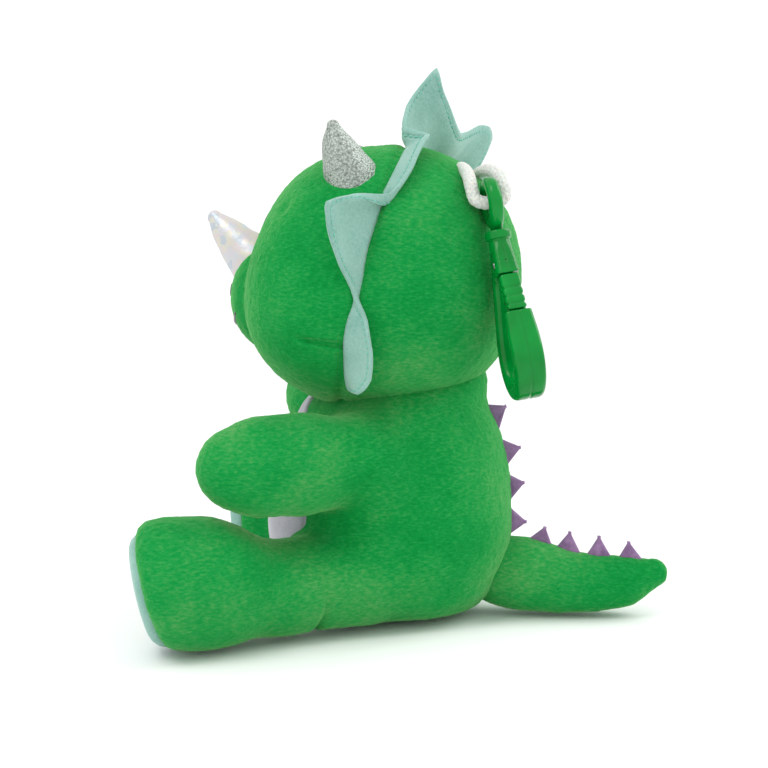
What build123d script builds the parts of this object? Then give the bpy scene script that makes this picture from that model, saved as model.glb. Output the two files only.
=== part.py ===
from build123d import *
import math
import os

os.makedirs("parts", exist_ok=True)

# Seated plush dinosaur bag charm: a sewn and stuffed toy with a cord loop and a swivel clip.
# Millimetres. +Z up, the toy faces -Y, its left side is +X, and it sits on Z = 0.

# --- driving dimensions ---
fabric = 1.2                # plush with its backing
fill_gap = 0.1              # between a cover and its filling
seam_gap = 0.05             # between a trim piece and the cover it is sewn on
joint_gap = 0.45            # round a limb's root, in its socket
room_step = 0.03            # keeps the balls of a limb's successive rooms apart
felt = 1.2                  # spike felt
embroidery = 0.5            # stitched patches

torso_axis_y = -4.5
torso_foot_z = 0.3
torso_foot_radius = 13.0
torso_waist_radius = 24.8
torso_waist_z = 20.0
torso_shoulder_radius = 18.5
torso_shoulder_z = 42.6
neck_centre = (0, torso_axis_y, 44.5)
neck_radius = 10.0
belly_half_width = 11.0

head_centre = (0, -5.5, 70.8)
head_half_width = 30.0
head_radius = 26.8
head_floor_z = 47.0         # flat underside of the head
snout_centre = (0, -25.5, 66.8)
snout_half_width = 13.5
snout_radius = 12.3

arm_radii = (8.8, 8.4)
arm_reach = 24.5            # hinge to the centre of the paw
leg_radii = (11.9, 12.4)
leg_reach = 28.5            # hinge to the centre of the foot
sole_offset = 9.6           # foot centre to sole
sole_tilt = 13              # degrees, toes forward
sole_turn = 13              # degrees, outward from straight ahead
sole_thickness = 1.5
sole_radius = 8.4

cord_radius = 1.3
stem_radius = 0.95
pin_radius = 0.7
running_gap = 0.05
gate_swing = 25             # degrees
clip_gap = 0.25             # round the gate


# --- helpers ---
def turned(vector, axis_direction, degrees):
    """The vector turned about an axis through the origin."""
    return Vector(*vector).rotate(Axis((0, 0, 0), axis_direction), degrees)


def aimed(origin, direction, reach):
    """The point at a distance from the origin along a direction."""
    return Vector(*origin) + Vector(*direction).normalized() * reach


def round_cone(start, end, start_radius, end_radius, seam_side=(0, 0, 1)):
    """A stuffed form: a taper between two balls."""
    axis = Vector(*end) - Vector(*start)
    lean = math.asin((start_radius - end_radius) / axis.length)
    half_lean = math.pi / 4 + lean / 2
    with BuildPart() as limb:
        with BuildSketch(Plane(origin=start, x_dir=axis, z_dir=axis.cross(Vector(*seam_side)))):
            with BuildLine():
                root_end = (start_radius * math.sin(lean), start_radius * math.cos(lean))
                tip_start = (axis.length + end_radius * math.sin(lean), end_radius * math.cos(lean))
                root_mid = (-start_radius * math.cos(half_lean), start_radius * math.sin(half_lean))
                tip_mid = (axis.length + end_radius * math.sin(half_lean), end_radius * math.cos(half_lean))
                ThreePointArc((-start_radius, 0), root_mid, root_end)
                Line(root_end, tip_start)
                ThreePointArc(tip_start, tip_mid, (axis.length + end_radius, 0))
                Line((axis.length + end_radius, 0), (-start_radius, 0))
            make_face()
        revolve(axis=Axis(start, axis))
    return limb.part


def wide_ball(centre, half_width, radius):
    """A ball stretched along X."""
    reach = Vector(half_width - radius, 0, 0)
    return round_cone(Vector(*centre) - reach, Vector(*centre) + reach, radius, radius, seam_side=(0, 0, -1))


def head_form(shrink):
    return wide_ball(head_centre, head_half_width - shrink, head_radius - shrink)


def snout_form(shrink):
    return wide_ball(snout_centre, snout_half_width - shrink, snout_radius - shrink)


def torso_form(shrink):
    """Pear-shaped body with a low cone at the neck."""
    foot = (torso_foot_radius, torso_foot_z + shrink)
    haunch = (21.6 - 0.75 * shrink, 6.3 + 0.65 * shrink)
    waist = (torso_waist_radius - shrink, torso_waist_z)
    chest = (23.6 - shrink, 32.5)
    shoulder = (torso_shoulder_radius - shrink, torso_shoulder_z - shrink / 2)
    collar_z = neck_centre[2] - 0.1 - shrink
    with BuildPart() as form:
        with BuildSketch(Plane.XZ.offset(-torso_axis_y)):
            with BuildLine():
                Line((0, foot[1]), foot)
                ThreePointArc(foot, haunch, waist)
                ThreePointArc(waist, chest, shoulder)
                Polyline(shoulder, (neck_radius - 2, collar_z), (0, collar_z), (0, foot[1]))
            make_face()
        revolve(axis=Axis((0, torso_axis_y, 0), (0, 0, 1)))
    return form.part


def horn(root, direction, length, base_radius, tip_radius, sag):
    """A sewn cone with a blunt tip and slightly hollow sides."""
    axis = Vector(*direction).normalized()
    across = axis.cross(Vector(1, 0, 0))
    with BuildPart() as cone:
        with BuildSketch(Plane(origin=root, x_dir=axis, z_dir=across)):
            with BuildLine():
                middle = (length / 2, (base_radius + tip_radius) / 2 - sag)
                shoulder = (length - tip_radius, tip_radius)
                tip_mid = (length - tip_radius * (1 - math.sin(math.pi / 4)), tip_radius * math.cos(math.pi / 4))
                Line((0, 0), (0, base_radius))
                ThreePointArc((0, base_radius), middle, shoulder)
                ThreePointArc(shoulder, tip_mid, (length, 0))
                Line((length, 0), (0, 0))
            make_face()
        revolve(axis=Axis(root, axis))
    return cone.part


def triangle_plate(corners, thickness):
    """A flat triangle of cloth or felt through three points."""
    first, second, third = (Vector(*corner) for corner in corners)
    normal = (second - first).cross(third - first)
    plane = Plane(origin=first, x_dir=second - first, z_dir=normal)
    with BuildPart() as plate:
        with BuildSketch(plane):
            with BuildLine():
                Polyline(*[plane.to_local_coords(corner) for corner in (first, second, third)], close=True)
            make_face()
        extrude(amount=thickness / 2, both=True)
    return plate.part


def write(name, part):
    part.label = name
    export_step(part, f"parts/{name}.step")
    print(name, round(part.volume, 1))


# --- limbs: where each one is hinged, which way it points, and how far it bends ---
arm_hinge = {"left": Vector(22.5, -10.5, 35.2), "right": Vector(-22.5, -10.5, 36.0)}
arm_aim = {"left": Vector(0.54, -0.84, -0.02), "right": Vector(-0.71, -0.63, 0.30)}
leg_hinge = {"left": Vector(18.5, -13.5, 11.9), "right": Vector(-18.5, -13.0, 11.9)}
leg_aim = {"left": Vector(0.56, -0.83, 0.018), "right": Vector(-0.60, -0.80, 0.018)}
# The left arm rests just above the left leg, so that pair has less room to close than the right.
arm_bend = {"left": (-3, 20), "right": (-15, 20)}
leg_bend = {"left": (-6, 2), "right": (-6, 12)}
tail_bend = (-12, 12)
tail_balls = [((0, 20.0, 9.6), 7.2), ((0, 34.5, 7.0), 5.7), ((0, 49.9, 10.4), 1.9)]
tail_hinge = Vector(*tail_balls[0][0])


def arm_form(side, shrink, bend=0):
    hinge = arm_hinge[side]
    paw = aimed(hinge, turned(arm_aim[side], (1, 0, 0), -bend), arm_reach)
    return round_cone(hinge, paw, arm_radii[0] - shrink, arm_radii[1] - shrink)


def leg_form(side, shrink, bend=0):
    hinge = leg_hinge[side]
    foot = aimed(hinge, turned(leg_aim[side], (1, 0, 0), -bend), leg_reach)
    return round_cone(hinge, foot, leg_radii[0] - shrink, leg_radii[1] - shrink)


def tail_form(shrink, bend=0):
    with BuildPart() as form:
        for (start, start_radius), (end, end_radius) in zip(tail_balls, tail_balls[1:]):
            ends = [turned(Vector(*end_point) - tail_hinge, (0, 0, 1), bend) + tail_hinge for end_point in (start, end)]
            add(round_cone(ends[0], ends[1], start_radius - shrink, end_radius - shrink))
    return form.part


def bends(limits):
    """The two limits of a bend, its rest place and the middle of each half."""
    low, high = limits
    return [low, low / 2, 0, high / 2, high]


# --- body: side panels, belly panel, filling, pellets and back spikes ---
def limb_rooms():
    """Each limb at each bend, swollen by the gap, and by a little less each time."""
    for form, limits in ((lambda *use: arm_form("left", *use), arm_bend["left"]),
                         (lambda *use: arm_form("right", *use), arm_bend["right"]),
                         (lambda *use: leg_form("left", *use), leg_bend["left"]),
                         (lambda *use: leg_form("right", *use), leg_bend["right"]),
                         (tail_form, tail_bend)):
        for step, bend in enumerate(bends(limits)):
            yield form(room_step * step - joint_gap, bend)


with BuildPart() as torso_cover:
    add(torso_form(0))
    add(torso_form(fabric), mode=Mode.SUBTRACT)
    for room in limb_rooms():
        add(room, mode=Mode.SUBTRACT)

with BuildPart() as belly_gore:
    with BuildSketch(Plane.XZ.offset(-torso_axis_y)):
        with BuildLine():
            Line((-4, 1), (4, 1))
            ThreePointArc((4, 1), (belly_half_width, 19), (6, 48))
            Line((6, 48), (-6, 48))
            ThreePointArc((-6, 48), (-belly_half_width, 19), (-4, 1))
        make_face()
    extrude(amount=40)

with BuildPart() as belly_panel:
    add(torso_cover.part)
    add(belly_gore.part, mode=Mode.INTERSECT)
write("belly_panel", belly_panel.part)

for side, keep in (("left", Keep.TOP), ("right", Keep.BOTTOM)):
    with BuildPart() as torso_panel:
        add(torso_cover.part)
        add(belly_gore.part, mode=Mode.SUBTRACT)
        split(bisect_by=Plane.YZ, keep=keep)
    write(f"torso_{side}_panel", torso_panel.part)

pellet_top_z = 9.0
with BuildPart() as body_core:
    add(torso_form(fabric + fill_gap))
    for room in limb_rooms():
        add(room, mode=Mode.SUBTRACT)

with BuildPart() as pellet_fill:
    add(body_core.part)
    split(bisect_by=Plane.XY.offset(pellet_top_z), keep=Keep.BOTTOM)
write("pellet_fill", pellet_fill.part)

with BuildPart() as torso_stuffing:
    add(body_core.part)
    split(bisect_by=Plane.XY.offset(pellet_top_z), keep=Keep.TOP)
write("torso_stuffing", torso_stuffing.part)

with BuildPart() as neck_ball:
    with Locations(neck_centre):
        Sphere(neck_radius)
    add(torso_form(0), mode=Mode.SUBTRACT)
    split(bisect_by=Plane.XY.offset(torso_shoulder_z), keep=Keep.TOP)
write("neck_stuffing", neck_ball.part)

spike_heights = (41.4, 34.4, 27.3, 20.4)
spike_half_base = 3.5
spike_stand = 3.5
with BuildPart() as back_spikes:
    for z in spike_heights:
        back_y = torso_axis_y + 24.8 - 0.0122 * (z - torso_waist_z) ** 2
        corners = [(0, back_y - 2, z - spike_half_base), (0, back_y - 2.6, z + spike_half_base),
                   (0, back_y + spike_stand, z + 0.5)]
        add(triangle_plate(corners, felt))
    add(torso_form(0), mode=Mode.SUBTRACT)
    add(tail_form(-joint_gap), mode=Mode.SUBTRACT)
write("back_spikes", back_spikes.part)

# --- arms and legs ---
for side in ("left", "right"):
    with BuildPart() as arm_cover:
        add(arm_form(side, 0))
        add(arm_form(side, fabric), mode=Mode.SUBTRACT)
    write(f"arm_{side}_cover", arm_cover.part)
    write(f"arm_{side}_stuffing", arm_form(side, fabric + fill_gap))

    facing_ahead = turned((0, -1, 0), (1, 0, 0), sole_tilt)
    toward_sole = turned(facing_ahead, (0, 0, 1), sole_turn if side == "left" else -sole_turn)
    foot_centre = aimed(leg_hinge[side], leg_aim[side], leg_reach)
    sole_plane = Plane(origin=aimed(foot_centre, toward_sole, sole_offset), z_dir=toward_sole)
    inner_sole_plane = sole_plane.offset(-fabric)
    with BuildPart() as leg_filling:
        add(leg_form(side, fabric))
        split(bisect_by=inner_sole_plane, keep=Keep.BOTTOM)
    with BuildPart() as leg_cover:
        add(leg_form(side, 0))
        split(bisect_by=sole_plane, keep=Keep.BOTTOM)
        add(leg_filling.part, mode=Mode.SUBTRACT)
    write(f"leg_{side}_cover", leg_cover.part)
    with BuildPart() as leg_stuffing:
        add(leg_form(side, fabric + fill_gap))
        split(bisect_by=inner_sole_plane.offset(-fill_gap), keep=Keep.BOTTOM)
    write(f"leg_{side}_stuffing", leg_stuffing.part)
    with BuildPart() as foot_pad:
        with BuildSketch(sole_plane.offset(seam_gap)):
            Circle(sole_radius)
        extrude(amount=sole_thickness, taper=25)
    write(f"foot_{side}_pad", foot_pad.part)

# --- tail ---
with BuildPart() as tail_cover:
    add(tail_form(0))
    add(tail_form(fabric), mode=Mode.SUBTRACT)
write("tail_cover", tail_cover.part)
write("tail_stuffing", tail_form(fabric + fill_gap))

tail_spike_centres = [(27.9, 13.6), (33.7, 12.4), (39.5, 11.8), (45.6, 12.1)]
with BuildPart() as tail_spikes:
    for y, z in tail_spike_centres:
        add(triangle_plate([(0, y - 3.1, z - 1.6), (0, y + 3.1, z - 1.9), (0, y + 0.4, z + 3.5)], felt))
    add(tail_form(0), mode=Mode.SUBTRACT)
write("tail_spikes", tail_spikes.part)

# --- head: four panels that meet at the centre seam and at the frill ---
frill_plane = Plane(origin=(0, -5, head_centre[2]), x_dir=(1, 0, 0), z_dir=(0, 1, -0.25))


def head_solid(shrink):
    with BuildPart() as form:
        add(head_form(shrink))
        split(bisect_by=Plane.XY.offset(head_floor_z + shrink), keep=Keep.TOP)
        with Locations(neck_centre):
            Sphere(neck_radius + joint_gap, mode=Mode.SUBTRACT)
    return form.part


with BuildPart() as head_cover:
    add(head_solid(0))
    add(head_solid(fabric), mode=Mode.SUBTRACT)

for side, keep_side in (("left", Keep.TOP), ("right", Keep.BOTTOM)):
    for place, keep_place in (("face", Keep.BOTTOM), ("nape", Keep.TOP)):
        with BuildPart() as head_panel:
            add(head_cover.part)
            split(bisect_by=Plane.YZ, keep=keep_side)
            split(bisect_by=frill_plane, keep=keep_place)
        write(f"{place}_{side}_panel", head_panel.part)
write("head_stuffing", head_solid(fabric + fill_gap))

with BuildPart() as snout_cover:
    add(snout_form(0))
    add(snout_form(fabric), mode=Mode.SUBTRACT)
    add(head_form(-seam_gap), mode=Mode.SUBTRACT)
write("snout_cover", snout_cover.part)
with BuildPart() as snout_stuffing:
    add(snout_form(fabric + fill_gap))
    add(head_form(-seam_gap), mode=Mode.SUBTRACT)
write("snout_stuffing", snout_stuffing.part)

# --- face: embroidered eyes, nostrils and mouth ---
eye_half_width = 4.0
eye_half_height = 5.0
nostril_radius = 1.1
for side, sign in (("left", 1), ("right", -1)):
    with BuildPart() as eye:
        with BuildSketch(Plane(origin=(sign * 12.5, -12, 80.5), x_dir=(1, 0, 0), z_dir=(0, -1, 0))):
            Ellipse(eye_half_width, eye_half_height)
        extrude(amount=30)
        add(head_form(-embroidery), mode=Mode.INTERSECT)
        add(head_form(-seam_gap), mode=Mode.SUBTRACT)
        add(snout_form(-seam_gap), mode=Mode.SUBTRACT)
    write(f"eye_{side}", eye.part)
    with BuildPart() as nostril:
        with BuildSketch(Plane(origin=(sign * 3.8, -30, 68.6), x_dir=(1, 0, 0), z_dir=(0, -1, 0))):
            Circle(nostril_radius)
        extrude(amount=15)
        add(snout_form(-embroidery), mode=Mode.INTERSECT)
        add(snout_form(-seam_gap), mode=Mode.SUBTRACT)
    write(f"nostril_{side}", nostril.part)

with BuildPart() as mouth_stitch:
    with BuildSketch(Plane(origin=(0, -28, 66.5), x_dir=(1, 0, 0), z_dir=(0, -1, 0))):
        with BuildLine():
            ThreePointArc((-6.5, -2.2), (0, -5.2), (6.5, -2.2))
            Line((6.5, -2.2), (6.5, -3.0))
            ThreePointArc((6.5, -3.0), (0, -6.0), (-6.5, -3.0))
            Line((-6.5, -3.0), (-6.5, -2.2))
        make_face()
    extrude(amount=15)
    add(snout_form(-embroidery), mode=Mode.INTERSECT)
    add(snout_form(-seam_gap), mode=Mode.SUBTRACT)
write("mouth_stitch", mouth_stitch.part)

# --- horns ---
for side, sign in (("left", 1), ("right", -1)):
    with BuildPart() as brow_horn:
        add(horn((sign * 20.9, -11.5, 84.5), (sign * 0.35, -0.18, 0.92), 17.0, 5.9, 1.1, -0.5))
        add(head_form(-seam_gap), mode=Mode.SUBTRACT)
    write(f"brow_horn_{side}", brow_horn.part)
with BuildPart() as nose_horn:
    add(horn((0, -31.4, 73.4), (0, -0.68, 0.73), 16.2, 5.4, 1.1, 0.5))
    add(head_form(-seam_gap), mode=Mode.SUBTRACT)
    add(snout_form(-seam_gap), mode=Mode.SUBTRACT)
write("nose_horn", nose_horn.part)

# --- frill: a strip of two-layer cloth round the head, with five points ---
frill_thickness = 1.6
frill_strip = 3.2
frill_foot_z = 53.0         # the strip stops above the neck
frill_points = [
    [(-9.5, 1.5, 95.5), (9.5, 1.5, 95.5), (0, 6.2, 116)],
    [(20.5, -1.5, 88.5), (28.6, -6.5, 66), (40, -12.5, 82.5)],
    [(28.6, -6.0, 67), (20.5, -8.5, 53), (35.0, -7.0, 47.8)],
    [(-9.5, 1.5, 95.5), (-23.5, -1.5, 86), (-24.5, 14.5, 106)],
    [(-28.6, -6.0, 69), (-20.5, -8.5, 53), (-36.0, -6.0, 50.5)],
]
with BuildPart() as frill:
    with BuildSketch(frill_plane):
        Ellipse(head_half_width + frill_strip, head_radius + frill_strip)
    extrude(amount=frill_thickness / 2, both=True)
    for corners in frill_points:
        add(triangle_plate(corners, frill_thickness))
    add(head_form(-seam_gap), mode=Mode.SUBTRACT)
    with Locations((0, 0, frill_foot_z)):
        Box(42, 60, 60, align=(Align.CENTER, Align.CENTER, Align.MAX), mode=Mode.SUBTRACT)
write("frill", frill.part)

# --- swivel clip: it hangs from the cord loop by its ring ---
ring_radius = 3.7           # to the middle of the wire
ring_wire = 1.45
ring_bar_rise = 11.3        # hook origin to the bar that the cord holds
clip_up = Vector(-6.0, -8.5, 43.4).normalized()
clip_yaw = 12               # degrees, near edge towards the back
clip_bar = Vector(21.5, 15.5, 88.6)
level_across = Vector(1, 0, 0) - clip_up * clip_up.X
clip_across = level_across.normalized().rotate(Axis((0, 0, 0), clip_up), clip_yaw)
clip_plane = Plane(origin=clip_bar - clip_up * ring_bar_rise, x_dir=clip_across,
                   z_dir=clip_across.cross(clip_up))

collar_radius = 2.35
collar_height = 2.2
button_radius = 1.45
button_height = 1.2
button_room = 1.6
button_floor = -1.0
hook_top = (0, -2.6, 2.6)           # across, up, radius
hook_bottom = (0, -22.8, 7.95)
hole_top = (-0.2, -9.0, 1.4)
hole_bottom = (0, -22.8, 4.7)
gate_pivot = (0.75, -4.7)
knuckle_radius = 1.9
knuckle_thickness = 2.0


def teardrop(top, bottom):
    """The outline round two circles."""
    (top_x, top_y, top_radius), (bottom_x, bottom_y, bottom_radius) = top, bottom
    with BuildSketch(Plane.XY) as outline:
        with Locations((top_x, top_y)):
            Circle(top_radius)
        with Locations((bottom_x, bottom_y)):
            Circle(bottom_radius)
        make_hull()
    return outline.sketch


with BuildSketch(Plane.XY) as gate_arm:
    with BuildLine():
        Polyline((0.7, -7.35), (2.6, -6.85), (3.75, -6.9), (5.7, -13.95), (4.3, -13.95),
                 (4.75, -16.3), (3.3, -16.3), (1.25, -9.2), close=True)
    make_face()

with BuildSketch(Plane.XY) as gate_knuckle:
    with Locations(gate_pivot):
        Circle(knuckle_radius)
    with BuildLine():
        Polyline((-0.4, -6.0), (2.3, -5.6), (2.9, -8.0), (1.0, -8.2), close=True)
    make_face()


def gate_room(outline):
    """The room that an outline of the gate sweeps as it opens inwards."""
    with BuildSketch(Plane.XY) as room:
        for step in range(6):
            turn = Location((gate_pivot[0], gate_pivot[1], 0), (0, 0, 1), -gate_swing * step / 5)
            home = Location((-gate_pivot[0], -gate_pivot[1], 0))
            add(offset(outline, amount=clip_gap, mode=Mode.PRIVATE).moved(turn * home))
    return room.sketch


with BuildSketch(Plane.XY) as hook_outline:
    add(teardrop(hook_top, hook_bottom))
    add(teardrop(hole_top, hole_bottom), mode=Mode.SUBTRACT)
    add(gate_room(gate_arm.sketch), mode=Mode.SUBTRACT)

stem_plane = Plane(origin=clip_plane.origin, z_dir=clip_up)
with BuildPart() as hook_body:
    with BuildSketch(clip_plane):
        add(hook_outline.sketch)
    extrude(amount=2.95, both=True)
    with BuildSketch(Plane(origin=clip_plane.origin, x_dir=clip_plane.z_dir, z_dir=-clip_plane.x_dir)):
        with BuildLine():
            Polyline((-2.2, 3), (2.2, 3), (2.95, -34), (-2.95, -34), close=True)
        make_face()
    extrude(amount=12, both=True, mode=Mode.INTERSECT)
    with BuildSketch(stem_plane.offset(-1.9)):
        Circle(collar_radius)
    extrude(amount=1.9 + collar_height)
    with BuildSketch(stem_plane.offset(button_floor)):
        Circle(button_radius + clip_gap)
    extrude(amount=button_room, mode=Mode.SUBTRACT)
    with BuildSketch(stem_plane):
        Circle(stem_radius + running_gap)
    extrude(amount=collar_height + 1, mode=Mode.SUBTRACT)
    with BuildSketch(clip_plane):
        add(gate_room(gate_knuckle.sketch))
    extrude(amount=knuckle_thickness / 2 + clip_gap, both=True, mode=Mode.SUBTRACT)
    with BuildSketch(clip_plane):
        with Locations(gate_pivot):
            Circle(pin_radius)
    extrude(amount=4, both=True, mode=Mode.SUBTRACT)
write("hook_body", hook_body.part)

with BuildPart() as gate_pin:
    with BuildSketch(clip_plane):
        with Locations(gate_pivot):
            Circle(pin_radius)
    extrude(amount=2.2, both=True)
write("gate_pin", gate_pin.part)

with BuildPart() as gate_lever:
    with BuildSketch(clip_plane):
        add(gate_arm.sketch)
    extrude(amount=2.1, both=True)
    with BuildSketch(clip_plane):
        add(gate_knuckle.sketch)
    extrude(amount=knuckle_thickness / 2, both=True)
    with BuildSketch(clip_plane):
        with Locations(gate_pivot):
            Circle(pin_radius + running_gap)
    extrude(amount=4, both=True, mode=Mode.SUBTRACT)
write("gate_lever", gate_lever.part)

ring_centre = clip_bar - clip_up * ring_radius
stem_foot = button_floor + (button_room - button_height) / 2
with BuildPart() as swivel_eye:
    with BuildSketch(Plane(origin=ring_centre, x_dir=clip_plane.x_dir, z_dir=clip_up)):
        with Locations((ring_radius, 0)):
            Circle(ring_wire)
    revolve(axis=Axis(ring_centre, clip_plane.z_dir))
    with BuildSketch(stem_plane.offset(stem_foot)):
        Circle(button_radius)
    extrude(amount=button_height)
    with BuildSketch(stem_plane.offset(stem_foot)):
        Circle(stem_radius)
    extrude(amount=ring_bar_rise - 2 * ring_radius - stem_foot)
write("swivel_eye", swivel_eye.part)

# --- cord loop: sewn in at the back of the head, round the ring's bar and back ---
loop_route = [
    (4.6, 8.6, 91.0), (8.2, 10.4, 94.2), (12.6, 11.4, 94.4), (17.0, 11.9, 93.2), (21.3, 12.1, 90.6),
    (22.6, 13.0, 85.1), (21.3, 19.2, 86.1), (20.5, 18.2, 91.8), (17.4, 17.9, 95.2), (13.0, 16.8, 96.4),
    (8.8, 15.2, 95.8), (5.4, 13.4, 93.4), (2.4, 11.2, 89.9),
]


def arc_radii(route):
    """One radius for each corner: 0.45 of the shorter run, over the tangent of half the turn."""
    radii = []
    for before, corner, after in zip(route, route[1:], route[2:]):
        arriving = Vector(*corner) - Vector(*before)
        leaving = Vector(*after) - Vector(*corner)
        half_turn = math.radians(arriving.get_angle(leaving)) / 2
        radii.append(0.45 * min(arriving.length, leaving.length) / math.tan(half_turn))
    return radii


loop_radii = arc_radii(loop_route)
with BuildPart() as hang_loop:
    with BuildLine() as loop_path:
        FilletPolyline(*loop_route, radius=loop_radii)
    with BuildSketch(Plane(origin=loop_path.line @ 0, z_dir=loop_path.line % 0)):
        Circle(cord_radius)
    sweep()
    loop_length = sum(edge.length for edge in loop_path.edges())
    loop_volume = hang_loop.part.volume
    add(head_form(-seam_gap), mode=Mode.SUBTRACT)
write("hang_loop", hang_loop.part)

print("loop radii", [round(radius, 1) for radius in loop_radii])
print("loop length", round(loop_length, 1), "volume ratio",
      round(loop_volume / (math.pi * cord_radius ** 2 * loop_length), 3))
print("clip bar", clip_bar, "across", clip_plane.x_dir, "up", clip_up, "thickness way", clip_plane.z_dir)
print("gate pivot", clip_plane.from_local_coords(Vector(gate_pivot[0], gate_pivot[1], 0)))
print("hole middle", clip_plane.from_local_coords(Vector(hole_bottom[0], hole_bottom[1], 0)))
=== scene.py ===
"""A seated plush dinosaur charm with a cord loop and a swivel clip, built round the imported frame.

Sizes are in millimetres in the frame's own directions: +Z up, the toy faces -Y, its left side is +X.
"""

import math

import bpy
import numpy as np
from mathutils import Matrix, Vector


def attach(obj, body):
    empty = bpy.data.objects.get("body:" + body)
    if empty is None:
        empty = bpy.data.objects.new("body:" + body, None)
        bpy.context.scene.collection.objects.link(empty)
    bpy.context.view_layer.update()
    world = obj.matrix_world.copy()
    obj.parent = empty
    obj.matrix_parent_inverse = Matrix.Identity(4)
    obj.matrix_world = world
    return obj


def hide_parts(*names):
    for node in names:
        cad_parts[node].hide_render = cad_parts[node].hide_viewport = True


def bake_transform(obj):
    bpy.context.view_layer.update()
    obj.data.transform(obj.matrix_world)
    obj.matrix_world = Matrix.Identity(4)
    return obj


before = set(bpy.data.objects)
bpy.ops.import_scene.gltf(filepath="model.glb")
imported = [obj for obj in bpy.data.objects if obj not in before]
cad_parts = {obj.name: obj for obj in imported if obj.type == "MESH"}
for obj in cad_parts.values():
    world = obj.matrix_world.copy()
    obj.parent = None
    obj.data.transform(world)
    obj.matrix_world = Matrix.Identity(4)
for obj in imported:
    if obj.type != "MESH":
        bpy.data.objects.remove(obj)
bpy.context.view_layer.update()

MM = 0.001
SIDES = {"left": 1, "right": -1}
rng = np.random.default_rng(7)
noise_table = rng.uniform(-1, 1, 4096)


# --- studio -----------------------------------------------------------------------------------
def add_camera():
    """Near side of the toy, a little behind it and slightly above."""
    azimuth, elevation = math.radians(95), math.radians(4)
    distance = 290
    look_at = Vector((0, -6.5, 48.5)) * MM
    back = Vector((math.sin(azimuth) * math.cos(elevation), -math.cos(azimuth) * math.cos(elevation),
                   math.sin(elevation)))
    data = bpy.data.cameras.new("camera")
    data.lens = 64.3
    data.sensor_width = 36
    data.clip_start = 0.01
    camera = bpy.data.objects.new("camera", data)
    camera.location = look_at + back * distance * MM
    camera.rotation_mode = "QUATERNION"
    camera.rotation_quaternion = (-back).to_track_quat("-Z", "Y")
    bpy.context.collection.objects.link(camera)
    bpy.context.scene.camera = camera


def add_area_light(name, place, size, power, colour=(1, 1, 1)):
    data = bpy.data.lights.new(name, "AREA")
    data.size = size
    data.energy = power
    data.color = colour
    light = bpy.data.objects.new(name, data)
    light.location = place
    light.rotation_mode = "QUATERNION"
    light.rotation_quaternion = (Vector((0, 0, 0.05)) - Vector(place)).to_track_quat("-Z", "Y")
    bpy.context.collection.objects.link(light)


def add_studio():
    world = bpy.data.worlds.new("studio")
    world.use_nodes = True
    background = world.node_tree.nodes["Background"]
    background.inputs["Color"].default_value = (1.0, 1.0, 1.0, 1)
    background.inputs["Strength"].default_value = 1.12
    bpy.context.scene.world = world
    bpy.context.scene.view_settings.view_transform = "Standard"
    add_area_light("key", (0.30, -0.25, 0.60), 0.30, 1.2)
    add_area_light("rear", (-0.15, 0.45, 0.45), 0.35, 1.2)
    bpy.ops.mesh.primitive_plane_add(size=6, location=(0, 0, 0))
    floor = bpy.context.object
    floor.name = "floor"
    paper = bpy.data.materials.new("floor_paper")
    paper.use_nodes = True
    shader = paper.node_tree.nodes["Principled BSDF"]
    shader.inputs["Base Color"].default_value = (0.93, 0.93, 0.93, 1)
    shader.inputs["Roughness"].default_value = 0.9
    floor.data.materials.append(paper)


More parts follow.
